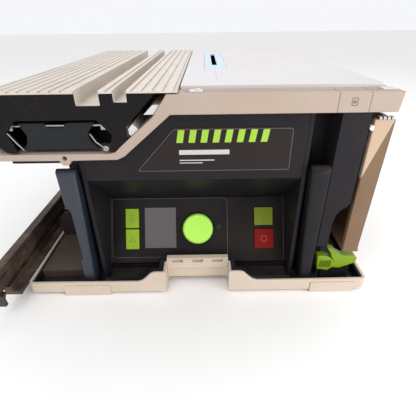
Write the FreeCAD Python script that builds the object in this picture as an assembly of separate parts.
"""Compact cordless table saw with a sliding table, built on a stacking-case tray.

Frame: +X to the operator's right, +Y away from the operator, +Z up.
The origin is the middle of the tray's footprint, on the ground. Millimetres.
"""
import FreeCAD, Part

import math
import os

V = FreeCAD.Vector

# ---------------------------------------------------------------- driving sizes
TRAY_HALF_X = 271.0
TRAY_CORNER = 8.0
TRAY_HALF_Y = 296.0
TRAY_RIM_Z = 26.0
TRAY_WALL = 4.0
TRAY_FLOOR = (2.0, 5.0)
NOTCH_HALF = 50.0
NOTCH_DEPTH = 24.0
NOTCH_SHOULDER_Z = 45.0

TABLE_Z = 317.0
PLATE_T = 6.0
FRAME_TOP = TABLE_Z - PLATE_T
APRON_BOTTOM = 288.0
APRON_TOP = 312.0
FRONT_Y = -290.0
BACK_Y = 290.0
SEAM_X = -14.0
PLATE_RIGHT = 240.0
PLATE_FRONT = -259.5
PLATE_BACK = 286.0
SHELF_LEFT = -252.0
SHELF_BOTTOM = 231.5
SHELF_TOP = 240.0
FRONT_BEAM_BACK = -252.0

HOUSING_HALF = 150.0
HOUSING_WALL = 6.0
FASCIA_Y = -272.0
FASCIA_BOTTOM = 194.0
HOUSING_BACK = 250.0
HOUSING_FLOOR = (8.5, 13.0)

PANEL_TILT = 30.0
PANEL_FOOT_Y = -246.0
PANEL_FOOT_Z = 24.0
PANEL_LENGTH = 112.0
PANEL_T = 5.0

BLADE_X = 34.0
BLADE_R = 84.0
BLADE_T = 1.8
TILT_CENTRE = V(BLADE_X, 0.0, TABLE_Z)
ARBOR_Y = 25.0
ARBOR_Z = 221.0
MOTOR_DROP = 46.0
ARBOR_R = 8.0
LIFT_ROD_X = 66.0
LIFT_ROD_R = 6.0
LIFT_ROD_YS = (-100.0, 130.0)
LIFT_SCREW_Y = 100.0
LIFT_SCREW_R = 4.0
RUNNING = 0.06
GAP = 0.4


# ---------------------------------------------------------------- small helpers
def box(x0, x1, y0, y1, z0, z1):
    return Part.makeBox(x1 - x0, y1 - y0, z1 - z0, V(x0, y0, z0))


def cylinder(centre, radius, length, direction):
    return Part.makeCylinder(radius, length, centre, direction)


def ring(centre, outer, inner, length, direction):
    return cylinder(centre, outer, length, direction).cut(cylinder(centre, inner, length, direction))


def prism_xz(points, y0, y1):
    """Extrude an outline in X and Z along the depth, from y0 to y1."""
    wire = Part.makePolygon([V(x, y0, z) for x, z in points + points[:1]])
    return Part.Face(wire).extrude(V(0, y1 - y0, 0))


def prism_yz(points, x0, x1):
    """Extrude an outline in Y and Z across the width, from x0 to x1."""
    wire = Part.makePolygon([V(x0, y, z) for y, z in points + points[:1]])
    return Part.Face(wire).extrude(V(x1 - x0, 0, 0))


def prism_xy(points, z0, z1):
    """Extrude a plan outline upwards, from z0 to z1."""
    wire = Part.makePolygon([V(x, y, z0) for x, y in points + points[:1]])
    return Part.Face(wire).extrude(V(0, 0, z1 - z0))


def edges_along(shape, axis, choose=lambda centre: True):
    """Straight edges of a solid that run along one axis."""
    found = []
    for edge in shape.Edges:
        if len(edge.Vertexes) != 2 or not isinstance(edge.Curve, Part.Line):
            continue
        run = edge.Vertexes[1].Point.sub(edge.Vertexes[0].Point)
        if abs(run.normalize().dot(axis)) > 0.999 and choose(edge.CenterOfMass):
            found.append(edge)
    return found


def round_edges(shape, radius, axis, choose=lambda centre: True):
    return shape.makeFillet(radius, edges_along(shape, axis, choose))


def fused(parts):
    return parts[0].multiFuse(parts[1:]).removeSplitter()


def group(solids):
    return Part.makeCompound(solids)


def on_panel(shape):
    """Carry a shape from the flat panel frame (X, up the slope, outward) to its place."""
    turned = shape.copy()
    turned.Placement = FreeCAD.Placement(
        V(0, PANEL_FOOT_Y, PANEL_FOOT_Z), FreeCAD.Rotation(V(1, 0, 0), 90.0 - PANEL_TILT)
    )
    return turned


NODES = {}


def keep(name, shape):
    NODES[name] = shape


# ---------------------------------------------------------------- tray
def front_outline(drop):
    """Half of the front wall's top edge, from the notch outwards: raised shoulder, then the low rim."""
    return [
        (NOTCH_HALF, NOTCH_SHOULDER_Z - drop),
        (68.0, NOTCH_SHOULDER_Z - drop),
        (74.0, 42.5 - drop),
        (82.0, 34.0 - drop),
        (88.0, 28.5 - drop),
        (96.0, TRAY_RIM_Z - drop),
    ]


def front_wall(y0, y1, z0, half_width, drop):
    walls = []
    for side in (-1, 1):
        outline = [(side * x, z) for x, z in front_outline(drop)]
        outline += [(side * half_width, TRAY_RIM_Z - drop), (side * half_width, z0), (side * NOTCH_HALF, z0)]
        walls.append(prism_xz(outline, y0, y1))
    return walls


def tray_blank(inset, z0, z1, corner):
    blank = box(
        -TRAY_HALF_X + inset, TRAY_HALF_X - inset, -TRAY_HALF_Y + inset, TRAY_HALF_Y - inset, z0, z1
    )
    return round_edges(blank, corner, V(0, 0, 1))


def notch_cut():
    return box(-NOTCH_HALF, NOTCH_HALF, -TRAY_HALF_Y - 10, -TRAY_HALF_Y + NOTCH_DEPTH + 10, -5, 90)


FOOT_XS = ((-215.0, -141.0), (182.0, 253.0))
FOOT_DEPTH = 30.0
FOOT_PROUD = 1.5
FOOT_TOP = 20.0


def foot_blocks(proud):
    """Angle-shaped feet: a pad under the floor and a lip let into the front or rear wall."""
    blocks = []
    for x0, x1 in FOOT_XS:
        for end in (-1, 1):
            outer = end * (TRAY_HALF_Y + proud)
            lip_y = sorted((outer, end * (TRAY_HALF_Y - TRAY_WALL)))
            pad_y = sorted((outer, end * (TRAY_HALF_Y - FOOT_DEPTH)))
            lip = box(x0, x1, *lip_y, 0, FOOT_TOP)
            blocks.append(lip.fuse(box(x0, x1, *pad_y, 0, TRAY_FLOOR[1])).removeSplitter())
    return blocks


def base_tray():
    outer = tray_blank(0, TRAY_FLOOR[0], TRAY_RIM_Z, TRAY_CORNER)
    bottom = [e for e in outer.Edges if abs(e.BoundBox.ZMax - TRAY_FLOOR[0]) < 1e-6]
    outer = outer.makeChamfer(5.0, bottom)
    parts = [outer] + front_wall(-TRAY_HALF_Y, -TRAY_HALF_Y + TRAY_WALL, TRAY_FLOOR[1], 200.0, 0.0)
    tray = fused(parts)
    tray = tray.cut(tray_blank(TRAY_WALL, TRAY_FLOOR[1], 90.0, TRAY_CORNER - TRAY_WALL))
    # cheeks of the notch, and the keel ribs that stand on the ground
    for side in (-1, 1):
        x0, x1 = sorted((side * NOTCH_HALF, side * (NOTCH_HALF + TRAY_WALL)))
        y0 = -TRAY_HALF_Y + TRAY_WALL
        tray = tray.fuse(box(x0, x1, y0, y0 + NOTCH_DEPTH, TRAY_FLOOR[1], NOTCH_SHOULDER_Z))
    tray = tray.cut(notch_cut())
    ribs = [box(-230, 230, -12, 12, 0, TRAY_FLOOR[0])]
    for x in (-150, 0, 150):
        ribs.append(box(x - 8, x + 8, -250, 250, 0, TRAY_FLOOR[0]))
    tray = fused([tray] + ribs)
    for block in foot_blocks(5.0):
        tray = tray.cut(block)
    return tray


LINER_FLOOR_TOP = 8.0
LINER_TOP_DROP = 2.0


def tray_liner():
    z0 = TRAY_FLOOR[1]
    outer = tray_blank(TRAY_WALL, z0, TRAY_RIM_Z - LINER_TOP_DROP, TRAY_CORNER - TRAY_WALL)
    liner = outer.cut(tray_blank(TRAY_WALL + 3, LINER_FLOOR_TOP, 90, 2.0))
    y0 = -TRAY_HALF_Y + TRAY_WALL
    liner = fused([liner] + front_wall(y0, y0 + 10, z0, 150.0, LINER_TOP_DROP))
    ledge_y = -TRAY_HALF_Y + NOTCH_DEPTH + 10
    liner = liner.fuse(box(-62, 62, ledge_y, ledge_y + 3, z0, 48))
    for side in (-1, 1):
        x0, x1 = sorted((side * (NOTCH_HALF + TRAY_WALL), side * 62))
        liner = liner.fuse(box(x0, x1, y0 + 8, ledge_y + 3, z0, 43))
    wide = NOTCH_HALF + TRAY_WALL
    liner = liner.cut(box(-wide, wide, -TRAY_HALF_Y, ledge_y, 0, 90))
    return liner.removeSplitter()


def catch_bar():
    y0 = -TRAY_HALF_Y + NOTCH_DEPTH
    bar = box(-NOTCH_HALF, NOTCH_HALF, y0, y0 + 10, 12, 53)
    bar = bar.cut(box(-NOTCH_HALF + 2, NOTCH_HALF - 2, y0 - 1, y0 + 2.5, 39.5, 51))
    bar = bar.cut(box(-NOTCH_HALF + 3, NOTCH_HALF - 3, y0 - 1, y0 + 3, 12, 33))
    for x in (-33, 0, 33):
        bar = bar.cut(box(x - 9, x + 9, y0 - 1, y0 + 8, 42, 48.5))
    return bar


# ---------------------------------------------------------------- housing
def fascia_outline(z_top):
    """Front view of the housing above the control recess, cut off by the shelf's slope."""
    return [
        (HOUSING_HALF, z_top), (-26, z_top), (-88, 236), (-98, SHELF_BOTTOM),
        (-HOUSING_HALF, SHELF_BOTTOM), (-HOUSING_HALF, FASCIA_BOTTOM), (HOUSING_HALF, FASCIA_BOTTOM),
    ]


LABEL = [(-24.6, 267.5), (132.0, 267.5), (132.0, 205.5), (-81.0, 205.5)]


def label_plate():
    plate = prism_xz(LABEL, FASCIA_Y - 0.8, FASCIA_Y + 0.6)
    return round_edges(plate, 5.0, V(0, 1, 0))


def housing_front():
    fascia = prism_xz(fascia_outline(APRON_BOTTOM), FASCIA_Y, FASCIA_Y + 5)
    rad = math.radians(PANEL_TILT)
    top_y = PANEL_FOOT_Y + PANEL_LENGTH * math.sin(rad)
    top_z = PANEL_FOOT_Z + PANEL_LENGTH * math.cos(rad)
    ceiling = prism_yz(
        [(FASCIA_Y, FASCIA_BOTTOM), (top_y, top_z + 0.1), (top_y, top_z + 6), (FASCIA_Y + 5, FASCIA_BOTTOM + 6)],
        -HOUSING_HALF, HOUSING_HALF,
    )
    return fused([fascia, ceiling]).cut(label_plate())


def housing_left():
    return box(
        -HOUSING_HALF - HOUSING_WALL, -HOUSING_HALF, FASCIA_Y, HOUSING_BACK, LINER_FLOOR_TOP, SHELF_BOTTOM
    )


def housing_right():
    """Side wall that reaches the table, stepped down under the front apron."""
    wall = box(HOUSING_HALF, HOUSING_HALF + HOUSING_WALL, FASCIA_Y, HOUSING_BACK, LINER_FLOOR_TOP, FRAME_TOP)
    return wall.cut(box(140, 170, FASCIA_Y - 1, FRONT_BEAM_BACK, APRON_BOTTOM, 330))


BATTERY_XS = ((-136.0, -64.0), (-50.0, 22.0))
BATTERY_Z = (150.0, 214.0)
BATTERY_Y = (200.0, 278.0)
DUST_PORT = (92.0, 90.0)
DUST_OUTER = 21.0
DUST_INNER = 18.0


def housing_rear():
    wall = prism_xz(
        [
            (HOUSING_HALF, FRAME_TOP), (SEAM_X - 2, FRAME_TOP), (SEAM_X - 2, APRON_BOTTOM),
            (-26, APRON_BOTTOM), (-88, 236), (-98, SHELF_BOTTOM), (-HOUSING_HALF, SHELF_BOTTOM),
            (-HOUSING_HALF, HOUSING_FLOOR[1]), (HOUSING_HALF, HOUSING_FLOOR[1]),
        ],
        HOUSING_BACK - 5, HOUSING_BACK,
    )
    for x0, x1 in BATTERY_XS:
        wall = wall.cut(box(x0 - 4, x1 + 4, HOUSING_BACK - 6, HOUSING_BACK + 1, BATTERY_Z[0] - 4, BATTERY_Z[1] + 4))
    x, z = DUST_PORT
    return wall.cut(cylinder(V(x, HOUSING_BACK - 6, z), DUST_OUTER, 8, V(0, 1, 0)))


def housing_floor():
    return box(-HOUSING_HALF, HOUSING_HALF, PANEL_FOOT_Y + 6, HOUSING_BACK, LINER_FLOOR_TOP, HOUSING_FLOOR[1])


def battery_dock():
    shells = []
    for x0, x1 in BATTERY_XS:
        shell = box(x0 - 4, x1 + 4, BATTERY_Y[0] - 5, HOUSING_BACK, BATTERY_Z[0] - 4, BATTERY_Z[1] + 4)
        shell = shell.cut(
            box(x0 - GAP, x1 + GAP, BATTERY_Y[0] - GAP, HOUSING_BACK + 1, BATTERY_Z[0] - GAP, BATTERY_Z[1] + GAP)
        )
        shells.append(shell)
    return group(shells)


def dust_port():
    x, z = DUST_PORT
    tube = ring(V(x, HOUSING_BACK - 5, z), DUST_OUTER, DUST_INNER, 42, V(0, 1, 0))
    collar = ring(V(x, HOUSING_BACK, z), DUST_OUTER + 4, DUST_OUTER, 4, V(0, 1, 0))
    return fused([tube, collar])


# ---------------------------------------------------------------- control panel
BEZEL = (-147.0, 52.0, 9.0, 111.0)
KEY_UPPER = (-123.5, -101.0, 60.5, 93.5)
KEY_LOWER = (-123.5, -101.0, 24.0, 58.0)
KEY_START = (98.6, 130.0, 62.5, 93.0)
KEY_STOP = (98.6, 131.0, 22.5, 56.0)
DISPLAY = (-91.0, -37.0, 25.0, 95.0)
DIAL = (1.0, 58.5)
DIAL_R = 26.0
DIAL_SHAFT_R = 4.0
PANEL_SCREW = (37.5, 60.0)
KEY_GAP = 0.5


def opening(area, depth0=-20.0, depth1=20.0, gap=KEY_GAP):
    x0, x1, s0, s1 = area
    return box(x0 - gap, x1 + gap, s0 - gap, s1 + gap, depth0, depth1)


def control_panel():
    panel = box(-HOUSING_HALF, HOUSING_HALF, 0, PANEL_LENGTH, -PANEL_T, 0)
    panel = panel.cut(opening(BEZEL, gap=0.0))
    for area in (KEY_START, KEY_STOP):
        panel = panel.cut(opening(area))
    return on_panel(panel)


def control_bezel():
    x0, x1, s0, s1 = BEZEL
    plate = round_edges(box(x0, x1, s0, s1, -PANEL_T, 0.8), 4.0, V(0, 0, 1))
    for area in (KEY_UPPER, KEY_LOWER):
        plate = plate.cut(opening(area))
    plate = plate.cut(opening(DISPLAY, gap=0.0))
    x, s = DIAL
    plate = plate.cut(cylinder(V(x, s, -20), DIAL_SHAFT_R + 0.05, 40, V(0, 0, 1)))
    plate = plate.cut(cylinder(V(x, s, -1.2), DIAL_R + 1.2, 10, V(0, 0, 1)))
    x, s = PANEL_SCREW
    plate = plate.cut(cylinder(V(x, s, -4), 5.3, 10, V(0, 0, 1)))
    return on_panel(plate)


def key_cap(area):
    x0, x1, s0, s1 = area
    return on_panel(round_edges(box(x0, x1, s0, s1, -4.0, 2.2), 1.0, V(0, 0, 1)))


def dial_knob():
    x, s = DIAL
    knob = cylinder(V(x, s, -0.8), DIAL_R, 17.8, V(0, 0, 1))
    rim = [e for e in knob.Edges if abs(e.BoundBox.ZMin - 17.0) < 1e-6]
    knob = knob.makeFillet(2.0, rim)
    shaft = cylinder(V(x, s, -14), DIAL_SHAFT_R, 13.4, V(0, 0, 1))
    return on_panel(fused([knob, shaft]))


def dial_encoder():
    x, s = DIAL
    can = box(x - 12, x + 12, s - 12, s + 12, -15, -PANEL_T)
    return on_panel(can.cut(cylinder(V(x, s, -30), DIAL_SHAFT_R + 0.05, 40, V(0, 0, 1))))


def panel_screw():
    x, s = PANEL_SCREW
    screw = cylinder(V(x, s, -4), 4.8, 2.5, V(0, 0, 1))
    return on_panel(screw.cut(box(x - 3, x + 3, s - 0.6, s + 0.6, -2.5, 0)))


# ---------------------------------------------------------------- cheeks, webs, column, covers
CHEEK_X = (164.0, 185.0)
BRACKET_BOTTOM = 222.0
CHEEK_OUTLINE = [
    (-286, LINER_FLOOR_TOP), (-286, 208), (-281, 215), (-276, 215), (-273, 205), (-271, 190),
    (-262, 188), (-254, 184), (-250, 172), (-241, 60), (-262, LINER_FLOOR_TOP),
]


CHEEK_TAPER = [(158.5, 216), (CHEEK_X[1] + 0.5, 216), (CHEEK_X[1], LINER_FLOOR_TOP), (167, LINER_FLOOR_TOP)]


def cheek(side):
    """Upright hook, a little wider at the top than at the foot."""
    x0, x1 = sorted((side * CHEEK_X[0], side * CHEEK_X[1]))
    arm = prism_yz(CHEEK_OUTLINE, x0 - 8, x1 + 8)
    arm = arm.common(prism_xz([(side * x, z) for x, z in CHEEK_TAPER], -300, -200))
    if side < 0:
        arm = arm.cut(box(x0 - 1, x0 + 8, -300, -200, 60, 150))
        arch = cylinder(V(x0, -300, 150), 8, 100, V(0, 1, 0))
        arm = arm.cut(arch)
    return arm


def front_web(side):
    top = BRACKET_BOTTOM if side < 0 else APRON_BOTTOM
    x0, x1 = sorted((side * (HOUSING_HALF + HOUSING_WALL), side * CHEEK_X[1]))
    web = box(x0, x1, -240, -234, LINER_FLOOR_TOP, top)
    x0, x1 = sorted((side * (HOUSING_HALF + HOUSING_WALL), side * (CHEEK_X[0] + 4)))
    return web.fuse(box(x0, x1, -251, -240, LINER_FLOOR_TOP, 184)).cut(cheek(side)).removeSplitter()


def right_column():
    """Upright with an arch cut out of its lower right."""
    outline = [(186.0, APRON_BOTTOM), (223.0, APRON_BOTTOM), (223.0, 158.0), (219.0, 151.0), (212.0, 147.0)]
    outline += [(206.0, 138.0), (203.0, 122.0), (203.0, LINER_FLOOR_TOP), (186.0, LINER_FLOOR_TOP)]
    column = prism_xz(outline, -282, -234)
    return column.cut(box(180, 210, -290, -260, 0, 82))


COVER_X = (228.0, 254.0)
COVER_Z = (70.0, 277.0)
COVER_Y = (-282.0, 262.0)


def side_cover():
    x0, x1 = COVER_X
    y0, y1 = COVER_Y
    shell = box(x0, x1, y0, y1, *COVER_Z)
    shell = shell.cut(box(x0 - 1, x1 - 4, y0 + 9, y1 - 9, COVER_Z[0] + 6, COVER_Z[1] + 1))
    # the front corner is planed back below a slanting line
    corners = [V(x1 + 1, y0 - 0.1, 281), V(x0 - 1, y0 - 0.1, 196), V(x1 + 1, y0 + 5, 60)]
    wedge = Part.Face(Part.makePolygon(corners + corners[:1])).extrude(V(0, -30, 0))
    foot = prism_xy([(x0 - 1, y0 - 1), (x1 + 1, y0 - 1), (x1 + 1, y0)], COVER_Z[0], 90)
    return shell.cut(wedge).cut(foot)


def cover_posts():
    """Ledges under the frame that carry the side cover."""
    return [box(229.0, 249.0, y, y + 30, COVER_Z[1], APRON_BOTTOM) for y in (-200.0, 0.0, 200.0)]


def clip_pin():
    head = cylinder(V(226.0, -284, 267), 3.2, 8, V(0, 1, 0))
    return head.common(box(223.1, 228, -300, -200, 200, 300))


LEFT_DECK_X = (-263.5, -186.0)
LEFT_DECK_TOP = 24.0
LEFT_WALL_Y = -160.0


def left_inner_panel():
    """Raised deck behind the left pocket, turned up at the back into a round-shouldered wall."""
    x0, x1 = LEFT_DECK_X
    deck = box(x0, x1, -262, LEFT_WALL_Y, LEFT_DECK_TOP - 3, LEFT_DECK_TOP)
    skirt = box(x0, x1, -262, -259, LINER_FLOOR_TOP, LEFT_DECK_TOP)
    wall = box(x0, x1, LEFT_WALL_Y, LEFT_WALL_Y + 3, LINER_FLOOR_TOP, 78)
    shoulder = [e for e in wall.Edges if e.BoundBox.ZMin > 77 and abs(e.BoundBox.XMax - x0) < 1e-6]
    return fused([deck, skirt, wall.makeFillet(24.0, shoulder)])


def shelf_bracket():
    return box(-243, -156, -275, -200, BRACKET_BOTTOM, SHELF_BOTTOM)


# ---------------------------------------------------------------- table frame and tops
SLOPE = [(-29, APRON_TOP), (-48, 285), (-88, 252), (-99, 242), (-106, SHELF_TOP)]


def table_frame():
    band = [(-26, APRON_BOTTOM), (-88, 236), (-98, SHELF_BOTTOM), (SHELF_LEFT, SHELF_BOTTOM)]
    band += [(SHELF_LEFT, 251), (-249, 251), (-246, SHELF_TOP)] + SLOPE[::-1] + [(-26, APRON_TOP)]
    shelf = prism_xz(band, FRONT_Y, BACK_Y - 4)
    low_lip = box(-30, SEAM_X, PLATE_FRONT, BACK_Y, FRAME_TOP, 330)
    right_end = [(-26, APRON_BOTTOM), (249.5, APRON_BOTTOM), (251.5, APRON_TOP), (-26, APRON_TOP)]
    front = prism_xz(right_end, FRONT_Y, -268)
    front = front.fuse(box(-26, 251.5, -268, PLATE_FRONT, APRON_BOTTOM, APRON_TOP))
    front = front.fuse(box(-26, 251.5, PLATE_FRONT, FRONT_BEAM_BACK, APRON_BOTTOM, FRAME_TOP))
    right = box(226, 249.5, FRONT_BEAM_BACK, 264, APRON_BOTTOM, FRAME_TOP)
    back = box(-26, 249.5, 262, PLATE_BACK, APRON_BOTTOM, FRAME_TOP)
    left = box(-26, -16, FRONT_BEAM_BACK, 264, APRON_BOTTOM, FRAME_TOP)
    boss = cylinder(V(-165, FRONT_Y, SHELF_BOTTOM), 7, 14, V(0, 1, 0))
    frame = fused([shelf, front, right, back, left, boss, *cover_posts()]).cut(low_lip)
    frame = frame.cut(box(-10, 228, -277.5, -272, APRON_TOP - 3, APRON_TOP + 1))
    return frame.cut(cylinder(V(-165, FRONT_Y - 1, SHELF_BOTTOM + 3), 3.2, 14, V(0, 1, 0)))


INSERT = (16.0, 53.0, -117.0, 200.0)
SLOT = (29.5, 38.5, -60.0, 150.0)


def table_top():
    plate = box(SEAM_X, PLATE_RIGHT, PLATE_FRONT, PLATE_BACK, FRAME_TOP, TABLE_Z)
    plate = plate.makeChamfer(0.8, [e for e in plate.Edges if abs(e.BoundBox.ZMin - TABLE_Z) < 1e-6])
    x0, x1, y0, y1 = INSERT
    plate = plate.cut(box(x0, x1, y0, y1, TABLE_Z - 4, TABLE_Z + 1))
    return plate.cut(box(x0 + 3, x1 - 1, y0 + 5, y1 - 5, FRAME_TOP - 1, TABLE_Z))


def table_insert():
    x0, x1, y0, y1 = INSERT
    insert = box(x0 + 0.3, x1 - 0.3, y0 + 0.3, y1 - 0.3, TABLE_Z - 4, TABLE_Z)
    sx0, sx1, sy0, sy1 = SLOT
    slot = [(sx0, TABLE_Z + 1), (sx0, TABLE_Z - 0.5), (sx0 - 5, TABLE_Z - 5), (sx1 + 1, TABLE_Z - 5)]
    slot += [(sx1, TABLE_Z - 3), (sx1, TABLE_Z + 1)]
    return insert.cut(prism_xz(slot, sy0, sy1))


def rail_stop():
    stop = box(-2, 14, -282, -268, APRON_TOP, APRON_TOP + 1.8)
    screw = cylinder(V(8, -275, APRON_TOP + 1.8), 3.2, 1.5, V(0, 0, 1))
    return group([stop, screw])


def rail_end():
    return box(229, 245, -280, -268, APRON_TOP, APRON_TOP + 2.0)


def rail_carriers():
    """Pale strips in the gap between the sliding table's flank and the frame's slope."""
    upper = [(-38.0, 299.5), (-46.1, 288), (-58.5, 288), (-46.5, 299.5)]
    lower = [(-66.4, 270), (-76.1, 262), (-79.0, 264), (-79.3, 271), (-73.5, 277)]
    return [prism_xz(outline, -287, 270) for outline in (upper, lower)]


# ---------------------------------------------------------------- sliding table
SLIDE_TOP = [(-247, 315), (-245, TABLE_Z), (SEAM_X - 1.5, TABLE_Z), (SEAM_X - 1.5, 313.5), (-247, 313.5)]
FLANK = [(-42, 313.4), (-80.5, 274), (-80.5, 260), (-89, 251.5), (-95, 246), (-101, 242.5)]
SLIDE_BOTTOM = 242.5
GROOVES = ((-137.4, -108.0, 299.5), (-92.0, -75.6, 303.0))
RIB_PITCH = 12.4
RIB_GAP = 3.6
RIB_DEPTH = 2.0
CAP_OPENING = [(-215, 283), (-116, 283), (-99.6, 264), (-107, 241.5), (-222, 241.5), (-229, 268)]
CHAMBER_XS = ((-242.0, -213.0), (-209.0, -177.0), (-173.0, -143.0), (-74.0, -50.0))
CHAMBER_Z = (291.0, 310.0)
CAVITY = [(-216, 286), (-114, 286), (-97, 266), (-103, 250), (-103, 241.5), (-226, 241.5), (-226, 250), (-234, 268)]


def groove_cuts():
    return [box(x0, x1, FRONT_Y - 5, BACK_Y + 5, z, TABLE_Z + 5) for x0, x1, z in GROOVES]


def body_outline():
    return [(-245, 313.4)] + FLANK + [(-236, SLIDE_BOTTOM), (-245, 252)]


def end_cap(y0, y1):
    cap = prism_xz(body_outline(), y0, y1)
    for cut in groove_cuts():
        cap = cap.cut(cut)
    return cap.cut(prism_xz(CAP_OPENING, y0 - 1, y1 + 1))


BULKHEAD_Y = (-250.0, -247.0)


def front_cap():
    """Front end cap, and a bulkhead behind the finger space, notched for the guide rail to pass."""
    face = end_cap(FRONT_Y, FRONT_Y + 4)
    bulkhead = prism_xz(CAVITY, *BULKHEAD_Y)
    return group([face, bulkhead.cut(box(-198.5, -131.5, -260, -240, 240, 259.5))])


def rib_positions():
    """Rib grooves across the table, left of, between and right of the two fence grooves."""
    spans = ((-240.0, -141.0), (-70.0, SEAM_X - 4))
    xs = []
    for x0, x1 in spans:
        count = int((x1 - x0) // RIB_PITCH)
        xs += [x0 + RIB_PITCH * i for i in range(count + 1)]
    return xs + [-100.0]


def sliding_table():
    top = prism_xz(SLIDE_TOP, FRONT_Y, BACK_Y)
    body = prism_xz([(x, z if z < 313 else 313.5) for x, z in body_outline()], FRONT_Y + 4, BACK_Y - 4)
    table = top.fuse(body)
    table = table.cut(prism_xz(CAVITY, FRONT_Y - 1, BACK_Y + 1))
    for x0, x1 in CHAMBER_XS:
        table = table.cut(box(x0, x1, FRONT_Y + 3, BACK_Y - 3, *CHAMBER_Z))
    for cut in groove_cuts():
        table = table.cut(cut)
    for x in rib_positions():
        table = table.cut(box(x, x + RIB_GAP, FRONT_Y - 1, BACK_Y + 1, TABLE_Z - RIB_DEPTH, TABLE_Z + 1))
    return table


ROD_XS = (-192.0, -138.0)
ROD_Z = 253.0
ROD_R = 4.0
ROD_Y = (-155.0, 272.0)


def guide_rods(grow=0.0):
    return [
        cylinder(V(x, ROD_Y[0], ROD_Z), ROD_R + grow, ROD_Y[1] - ROD_Y[0], V(0, 1, 0)) for x in ROD_XS
    ]


def guide_track():
    track = box(ROD_XS[0], ROD_XS[1], *ROD_Y, SHELF_TOP, ROD_Z + 1)
    for rod in guide_rods():
        track = track.cut(rod)
    return track


def bearing_blocks():
    blocks = []
    for y in (28.0, 118.0):
        blocks.append(box(-226, ROD_XS[0] - 0.3, y, y + 30, 247, 260))
        blocks.append(box(ROD_XS[1] + 0.3, -103, y, y + 30, 247, 260))
    cut = []
    for block in blocks:
        for rod in guide_rods(RUNNING):
            block = block.cut(rod)
        cut.append(block)
    return group(cut)


PADDLE_PIN = V(-236, -281.5, 275.0)
PADDLE_PIN_R = 1.6


def lock_paddle():
    outline = [
        (-215, 279), (-184, 279), (-180, 273), (-160, 273), (-156, 279), (-119.5, 279), (-130, 267),
        (-130.5, 261), (-128, 253), (-118.5, 244), (-218.5, 244), (-210, 254), (-208, 263),
    ]
    plate = prism_xz(outline, -284.5, -278.5)
    return plate.cut(cylinder(PADDLE_PIN, PADDLE_PIN_R + 0.05, 140, V(1, 0, 0)))


def paddle_ears():
    ears = [box(-228, -222, -286, -274, 270, 281), box(-113, -106, -286, -274, 270, 281)]
    inside = prism_xz(CAVITY, -290, -270)
    return [ear.common(inside).cut(cylinder(PADDLE_PIN, PADDLE_PIN_R, 140, V(1, 0, 0))) for ear in ears]


def paddle_pin():
    return cylinder(V(-223, PADDLE_PIN.y, PADDLE_PIN.z), PADDLE_PIN_R, 115, V(1, 0, 0))


def spring_clips():
    """Bent sheet-steel strips either side of the paddle."""
    left = [(-229, 268), (-227.5, 268.6), (-219.5, 256), (-212.6, 246), (-214, 245.5), (-221, 254.8)]
    right = [(-127.5, 266), (-126, 266.4), (-120, 256), (-109, 247), (-109.6, 245.5), (-121.5, 254.8)]
    return [prism_xz(left, -289.5, -286.0), prism_xz(right, -289.5, -286.0)]


# ---------------------------------------------------------------- tilting and lifting saw unit
ARC_R = (60.0, 70.0)
ARC_SLOT_CLEAR = 0.4
END_PLATE_YS = ((-138.0, -132.0), (160.0, 166.0))
TILT_X = (24.0, 108.0)
TILT_FLOOR_Z = (100.0, 106.0)


def polar(radius, degrees):
    """Point about the tilt centre, measured from straight down towards the left."""
    angle = math.radians(degrees)
    return BLADE_X - radius * math.sin(angle), TABLE_Z - radius * math.cos(angle)


def arc_sector(r_in, r_out, a0, a1, y0, y1):
    steps = 24
    turns = [a0 + (a1 - a0) * i / steps for i in range(steps + 1)]
    outline = [polar(r_out, a) for a in turns] + [polar(r_in, a) for a in reversed(turns)]
    return prism_xz(outline, y0, y1)


def tilt_frame():
    parts = [box(*TILT_X, END_PLATE_YS[0][0], END_PLATE_YS[1][1], *TILT_FLOOR_Z)]
    for y0, y1 in END_PLATE_YS:
        plate = prism_xz([(TILT_X[0], 100), (TILT_X[1], 100), (96, 262), (60, 288), (TILT_X[0], 288)], y0, y1)
        parts.append(plate)
    front, back = END_PLATE_YS[0][0], END_PLATE_YS[1][1]
    parts.append(arc_sector(*ARC_R, -16, 10, front - 6, front))
    parts.append(arc_sector(*ARC_R, -16, 10, back, back + 6))
    top_bar = box(88, 94, END_PLATE_YS[0][1], END_PLATE_YS[1][0], 100, 112)
    parts.append(top_bar)
    frame = fused(parts)
    for y in LIFT_ROD_YS:
        frame = frame.cut(cylinder(V(LIFT_ROD_X, y, 90), LIFT_ROD_R, 40, V(0, 0, 1)))
    return frame.cut(cylinder(V(LIFT_ROD_X, LIFT_SCREW_Y, 90), LIFT_SCREW_R + RUNNING, 40, V(0, 0, 1)))


def trunnion_brackets():
    brackets = []
    reach = 8.3
    for plate_face, out in ((END_PLATE_YS[0][0], -1), (END_PLATE_YS[1][1], 1)):
        y0, y1 = sorted((plate_face + out * 0.6, plate_face + out * (0.6 + reach)))
        sector = arc_sector(48, 82, -32, 60, y0, y1)
        leg = box(14, 54, y0, y1, HOUSING_FLOOR[1], 245)
        bracket = sector.fuse(leg)
        slot = arc_sector(ARC_R[0] - ARC_SLOT_CLEAR, ARC_R[1] + ARC_SLOT_CLEAR, -29, 62, y0 - 2, y1 + 2)
        rim = box(-60, SEAM_X - 1, y0 - 2, y1 + 2, 284, 330)
        bracket = bracket.cut(slot).cut(rim)
        keeper = arc_sector(48, 82, -32, 60, y0 if out < 0 else y1 - 2, y0 + 2 if out < 0 else y1).cut(rim)
        brackets.append(bracket.fuse(keeper).removeSplitter())
    return group(brackets)


def lift_rods():
    return [cylinder(V(LIFT_ROD_X, y, 100), LIFT_ROD_R, 192, V(0, 0, 1)) for y in LIFT_ROD_YS]


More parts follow.
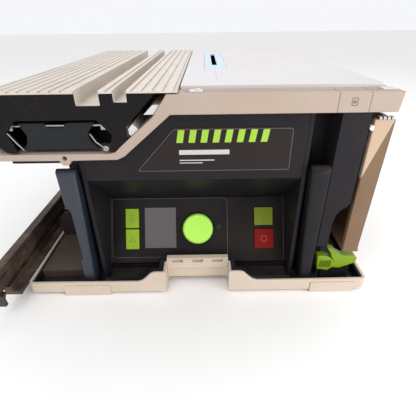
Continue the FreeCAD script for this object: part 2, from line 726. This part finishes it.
def lift_motor():
    body = box(50, 84, 84, 116, 68, 100)
    return body.cut(cylinder(V(LIFT_ROD_X, LIFT_SCREW_Y, 60), LIFT_SCREW_R + RUNNING, 60, V(0, 0, 1)))


def lift_screw():
    return cylinder(V(LIFT_ROD_X, LIFT_SCREW_Y, 80), LIFT_SCREW_R, 206, V(0, 0, 1))


CARRIAGE_Z = (150.0, 232.0)
CARRIAGE_X = (56.0, 76.0)


def belt_loop(r_extra, x0, x1):
    """Solid with the outline of the belt round both pulleys, grown by r_extra."""
    top = cylinder(V(x0, ARBOR_Y, ARBOR_Z), 15 + r_extra, x1 - x0, V(1, 0, 0))
    low = cylinder(V(x0, ARBOR_Y, ARBOR_Z - MOTOR_DROP), 10 + r_extra, x1 - x0, V(1, 0, 0))
    lean = 5.0 / MOTOR_DROP
    rise = math.sqrt(1 - lean * lean)
    flat = []
    for side in (1, -1):
        flat.append((ARBOR_Y + side * (15 + r_extra) * rise, ARBOR_Z - (15 + r_extra) * -lean * -1))
        flat.append((ARBOR_Y + side * (10 + r_extra) * rise, ARBOR_Z - MOTOR_DROP - (10 + r_extra) * lean))
    web = prism_yz([flat[0], flat[1], flat[3], flat[2]], x0, x1)
    return fused([top, low, web])


def lift_carriage():
    beam = box(*CARRIAGE_X, -112, 142, *CARRIAGE_Z)
    nose = cylinder(V(40, ARBOR_Y, ARBOR_Z), 17, 16, V(1, 0, 0))
    carriage = beam.fuse(nose)
    carriage = carriage.cut(belt_loop(5, 62, 77))
    carriage = carriage.cut(box(62, 77, -88, -20, 156, 226)).cut(box(62, 77, 66, 88, 156, 226))
    for y in LIFT_ROD_YS:
        carriage = carriage.cut(cylinder(V(LIFT_ROD_X, y, 90), LIFT_ROD_R + RUNNING, 200, V(0, 0, 1)))
    carriage = carriage.cut(cylinder(V(LIFT_ROD_X, LIFT_SCREW_Y, 90), LIFT_SCREW_R + RUNNING, 200, V(0, 0, 1)))
    return carriage.cut(cylinder(V(30, ARBOR_Y, ARBOR_Z), ARBOR_R + RUNNING, 60, V(1, 0, 0)))


def drive_belt():
    return belt_loop(2.4, 65, 72).cut(belt_loop(0.4, 64, 73))


def motor_housing():
    z = ARBOR_Z - MOTOR_DROP
    can = cylinder(V(76, ARBOR_Y, z), 34, 38, V(1, 0, 0))
    for index in range(16):
        slot = box(100, 112, -1.5, 1.5, 30, 40)
        slot.rotate(V(0, 0, 0), V(1, 0, 0), 22.5 * index)
        slot.translate(V(0, ARBOR_Y, z))
        can = can.cut(slot)
    return can.cut(cylinder(V(70, ARBOR_Y, z), 5 + RUNNING, 34, V(1, 0, 0)))


def motor_rotor():
    z = ARBOR_Z - MOTOR_DROP
    shaft = cylinder(V(64, ARBOR_Y, z), 5, 39, V(1, 0, 0))
    return shaft.fuse(cylinder(V(64, ARBOR_Y, z), 10, 9, V(1, 0, 0)))


def blade_bolt(shrink=0.0):
    """Bolt that clamps the blade: its shank passes through the blade and both flanges."""
    head = cylinder(V(BLADE_X - BLADE_T / 2 - 7, ARBOR_Y, ARBOR_Z), 7, 4, V(1, 0, 0))
    shank = cylinder(V(BLADE_X - BLADE_T / 2 - 4, ARBOR_Y, ARBOR_Z), 5 - shrink, 8, V(1, 0, 0))
    return fused([head, shank])


def arbor():
    shaft = cylinder(V(36.0, ARBOR_Y, ARBOR_Z), ARBOR_R, 35, V(1, 0, 0))
    pulley = cylinder(V(64, ARBOR_Y, ARBOR_Z), 15, 9, V(1, 0, 0))
    return fused([shaft, pulley, blade_bolt()])


def blade_flanges():
    half = BLADE_T / 2
    inner = cylinder(V(BLADE_X + half, ARBOR_Y, ARBOR_Z), 14, 4.0, V(1, 0, 0))
    outer = cylinder(V(BLADE_X - half - 3, ARBOR_Y, ARBOR_Z), 14, 3.0, V(1, 0, 0))
    return [inner.cut(arbor()), outer.cut(arbor())]


TEETH = 28


def saw_blade():
    half = BLADE_T / 2
    disc = cylinder(V(BLADE_X - half, ARBOR_Y, ARBOR_Z), BLADE_R, BLADE_T, V(1, 0, 0))
    gullets = []
    for index in range(TEETH):
        cut = prism_yz([(-4.5, BLADE_R + 2), (1.0, BLADE_R + 2), (-0.5, BLADE_R - 6.5), (-3.5, BLADE_R - 5)], -5, 5)
        cut.rotate(V(0, 0, 0), V(1, 0, 0), 360.0 * index / TEETH)
        cut.translate(V(BLADE_X, ARBOR_Y, ARBOR_Z))
        gullets.append(cut)
    return disc.cut(Part.makeCompound(gullets)).cut(arbor())


def riving_knife():
    """Curved blade guard of 1.6 mm plate behind the saw blade, on a foot from the carriage."""
    x0, x1 = BLADE_X - 0.8, BLADE_X + 0.8
    steps = 14
    turns = [math.radians(-18 + 66 * i / steps) for i in range(steps + 1)]
    outline = [(ARBOR_Y + 108 * math.cos(a), ARBOR_Z + 108 * math.sin(a)) for a in turns]
    outline += [(ARBOR_Y + 88 * math.cos(a), ARBOR_Z + 88 * math.sin(a)) for a in reversed(turns)]
    return prism_yz(outline, x0, x1)


def knife_bracket():
    return box(BLADE_X + 0.8, CARRIAGE_X[0], 114, 130, 192, 216)


# ---------------------------------------------------------------- loose and carried pieces
def battery(index):
    x0, x1 = BATTERY_XS[index]
    pack = round_edges(box(x0, x1, *BATTERY_Y, *BATTERY_Z), 6.0, V(0, 1, 0))
    middle = (x0 + x1) / 2
    latch = box(middle - 12.5, middle + 12.5, BATTERY_Y[1] - 8, BATTERY_Y[1] + 5, 186, 204)
    return pack.cut(latch)


def battery_latch(index):
    x0, x1 = BATTERY_XS[index]
    middle = (x0 + x1) / 2
    return box(middle - 12, middle + 12, BATTERY_Y[1] - 4, BATTERY_Y[1] + 3, 186.5, 203.5)


def push_stick():
    outline = [
        (193, 57.5), (196, 31), (214, 28), (220, 34), (232, 33), (256, 43), (258, 52), (254, 57),
        (234, 58), (225, 62), (217, 70), (206, 74.5), (214, 62), (216, 55), (221, 47), (214, 54), (206, 57.5),
    ]
    return prism_xz(outline, -277, -263)


def stick_cradle():
    """Ledge in the right bay that the push stick rests on."""
    outline = [(204, LINER_FLOOR_TOP), (250, LINER_FLOOR_TOP), (250, 39.8), (232, 32.6)]
    outline += [(220, 33.6), (214, 27.6), (204, 29.2)]
    return prism_xz(outline, -274, -266)


FENCE_X = (-298.0, -284.0)
FENCE_Y = (-338.0, 170.0)
FENCE_Z = (20.0, 76.0)
FENCE_FLANGE = (-273.0, 27.0)


def parked_fence():
    x0, x1 = FENCE_X
    y0, y1 = FENCE_Y
    z0, z1 = FENCE_Z
    flange_x, flange_z = FENCE_FLANGE
    bar = box(x0, x1, y0, y1, z0, z1).fuse(box(x0, flange_x, y0 + 24, y1, z0, flange_z))
    bar = bar.cut(box(x1 - 5, x1 + 1, y0 - 1, y1 + 1, 40, 49))
    bar = bar.cut(box(x1 - 2, x1 + 1, y0 - 1, y1 + 1, 63, 66))
    fork = [(y0 + 6, z0 - 1), (y0 + 5, z0 + 12), (y0 + 12, z0 + 20), (y0 + 20, z0 + 20)]
    fork += [(y0 + 25, z0 + 12), (y0 + 25, z0 - 1)]
    return bar.cut(prism_yz(fork, x0 - 1, flange_x + 1)).removeSplitter()


def fence_hooks():
    hooks = []
    for y in (-210.0, 90.0):
        seat = box(FENCE_X[0] - 4, -TRAY_HALF_X, y, y + 24, 2, FENCE_Z[0])
        outer = box(FENCE_X[0] - 4, FENCE_X[0] - GAP, y, y + 24, 2, FENCE_Z[0] + 14)
        hooks.append(fused([seat, outer]).cut(tray_blank(0, 0, 40, TRAY_CORNER)))
    return hooks


# ---------------------------------------------------------------- generic mark
def mark_bars():
    """A row of slanted bars, a plain device that spells nothing."""
    bars = []
    for index in range(8):
        x = -20.0 + 15.4 * index
        outline = [(x, 247.5), (x + 9, 247.5), (x + 13, 264), (x + 4, 264)]
        bars.append(prism_xz(outline, FASCIA_Y - 1.1, FASCIA_Y - 0.8))
    return bars


def mark_lines():
    spans = ((-20, 48, 230, 237.5), (-20, 32, 221.5, 223.5), (-20, 20, 217, 219))
    return [box(x0, x1, FASCIA_Y - 1.1, FASCIA_Y - 0.8, z0, z1) for x0, x1, z0, z1 in spans]


# ---------------------------------------------------------------- build
def build_base():
    keep("base_tray", base_tray())
    keep("tray_liner", tray_liner())
    keep("catch_bar", catch_bar())
    keep("foot_blocks", group(foot_blocks(FOOT_PROUD)))
    keep("housing_left", housing_left())
    keep("housing_right", housing_right())
    keep("housing_front", housing_front())
    keep("housing_rear", housing_rear())
    keep("housing_floor", housing_floor())
    keep("label_plate", label_plate())
    keep("label_marks", group(mark_bars() + mark_lines()))
    keep("control_panel", control_panel())
    keep("control_bezel", control_bezel())
    keep("display_window", on_panel(box(*DISPLAY, -2.2, 0.6)))
    keep("dial_encoder", dial_encoder())
    keep("panel_screw", panel_screw())
    keep("cheek_left", cheek(-1))
    keep("cheek_right", cheek(1))
    keep("front_webs", group([front_web(-1), front_web(1)]))
    keep("right_column", right_column())
    keep("side_cover", side_cover())
    keep("clip_pin", clip_pin())
    keep("left_inner_panel", left_inner_panel())
    keep("shelf_bracket", shelf_bracket())
    keep("table_frame", table_frame())
    keep("table_top", table_top())
    keep("table_insert", table_insert())
    keep("rail_fittings", group([*rail_stop().Solids, rail_end(), *rail_carriers()]))
    keep("guide_rail", group([guide_track(), *guide_rods()]))
    keep("trunnion_brackets", trunnion_brackets())
    keep("battery_dock", battery_dock())
    keep("dust_port", dust_port())
    keep("accessory_holders", group([stick_cradle(), *fence_hooks()]))


def build_movers():
    for index, side in enumerate(("left", "right")):
        keep(f"battery_{side}", battery(index))
        keep(f"battery_latch_{side}", battery_latch(index))
    keep("push_stick", push_stick())
    keep("parked_fence", parked_fence())
    keep("dial_knob", dial_knob())
    keep("key_upper", key_cap(KEY_UPPER))
    keep("key_lower", key_cap(KEY_LOWER))
    keep("key_start", key_cap(KEY_START))
    keep("key_stop", key_cap(KEY_STOP))
    keep("sliding_table", sliding_table())
    keep("cap_front", front_cap())
    keep("cap_rear", end_cap(BACK_Y - 4, BACK_Y))
    keep("bearing_blocks", bearing_blocks())
    keep("paddle_mount", group([*paddle_ears(), paddle_pin(), *spring_clips()]))
    keep("lock_paddle", lock_paddle())
    keep("tilt_frame", tilt_frame())
    keep("lift_drive", group([lift_motor(), *lift_rods()]))
    keep("lift_screw", lift_screw())
    keep("lift_carriage", lift_carriage())
    keep("drive_belt", drive_belt())
    keep("motor_housing", motor_housing())
    keep("motor_rotor", motor_rotor())
    keep("arbor", group([arbor(), *blade_flanges()]))
    keep("saw_blade", saw_blade())
    keep("riving_knife", group([riving_knife(), knife_bracket()]))


def write_parts():
    os.makedirs("parts", exist_ok=True)
    for name, shape in sorted(NODES.items()):
        if not shape.isValid():
            print("not valid:", name)
        print(f"{name:20s} solids {len(shape.Solids)}  volume {shape.Volume / 1000:10.1f} cm3")
        shape.exportStep(f"parts/{name}.step")


build_base()
build_movers()
write_parts()
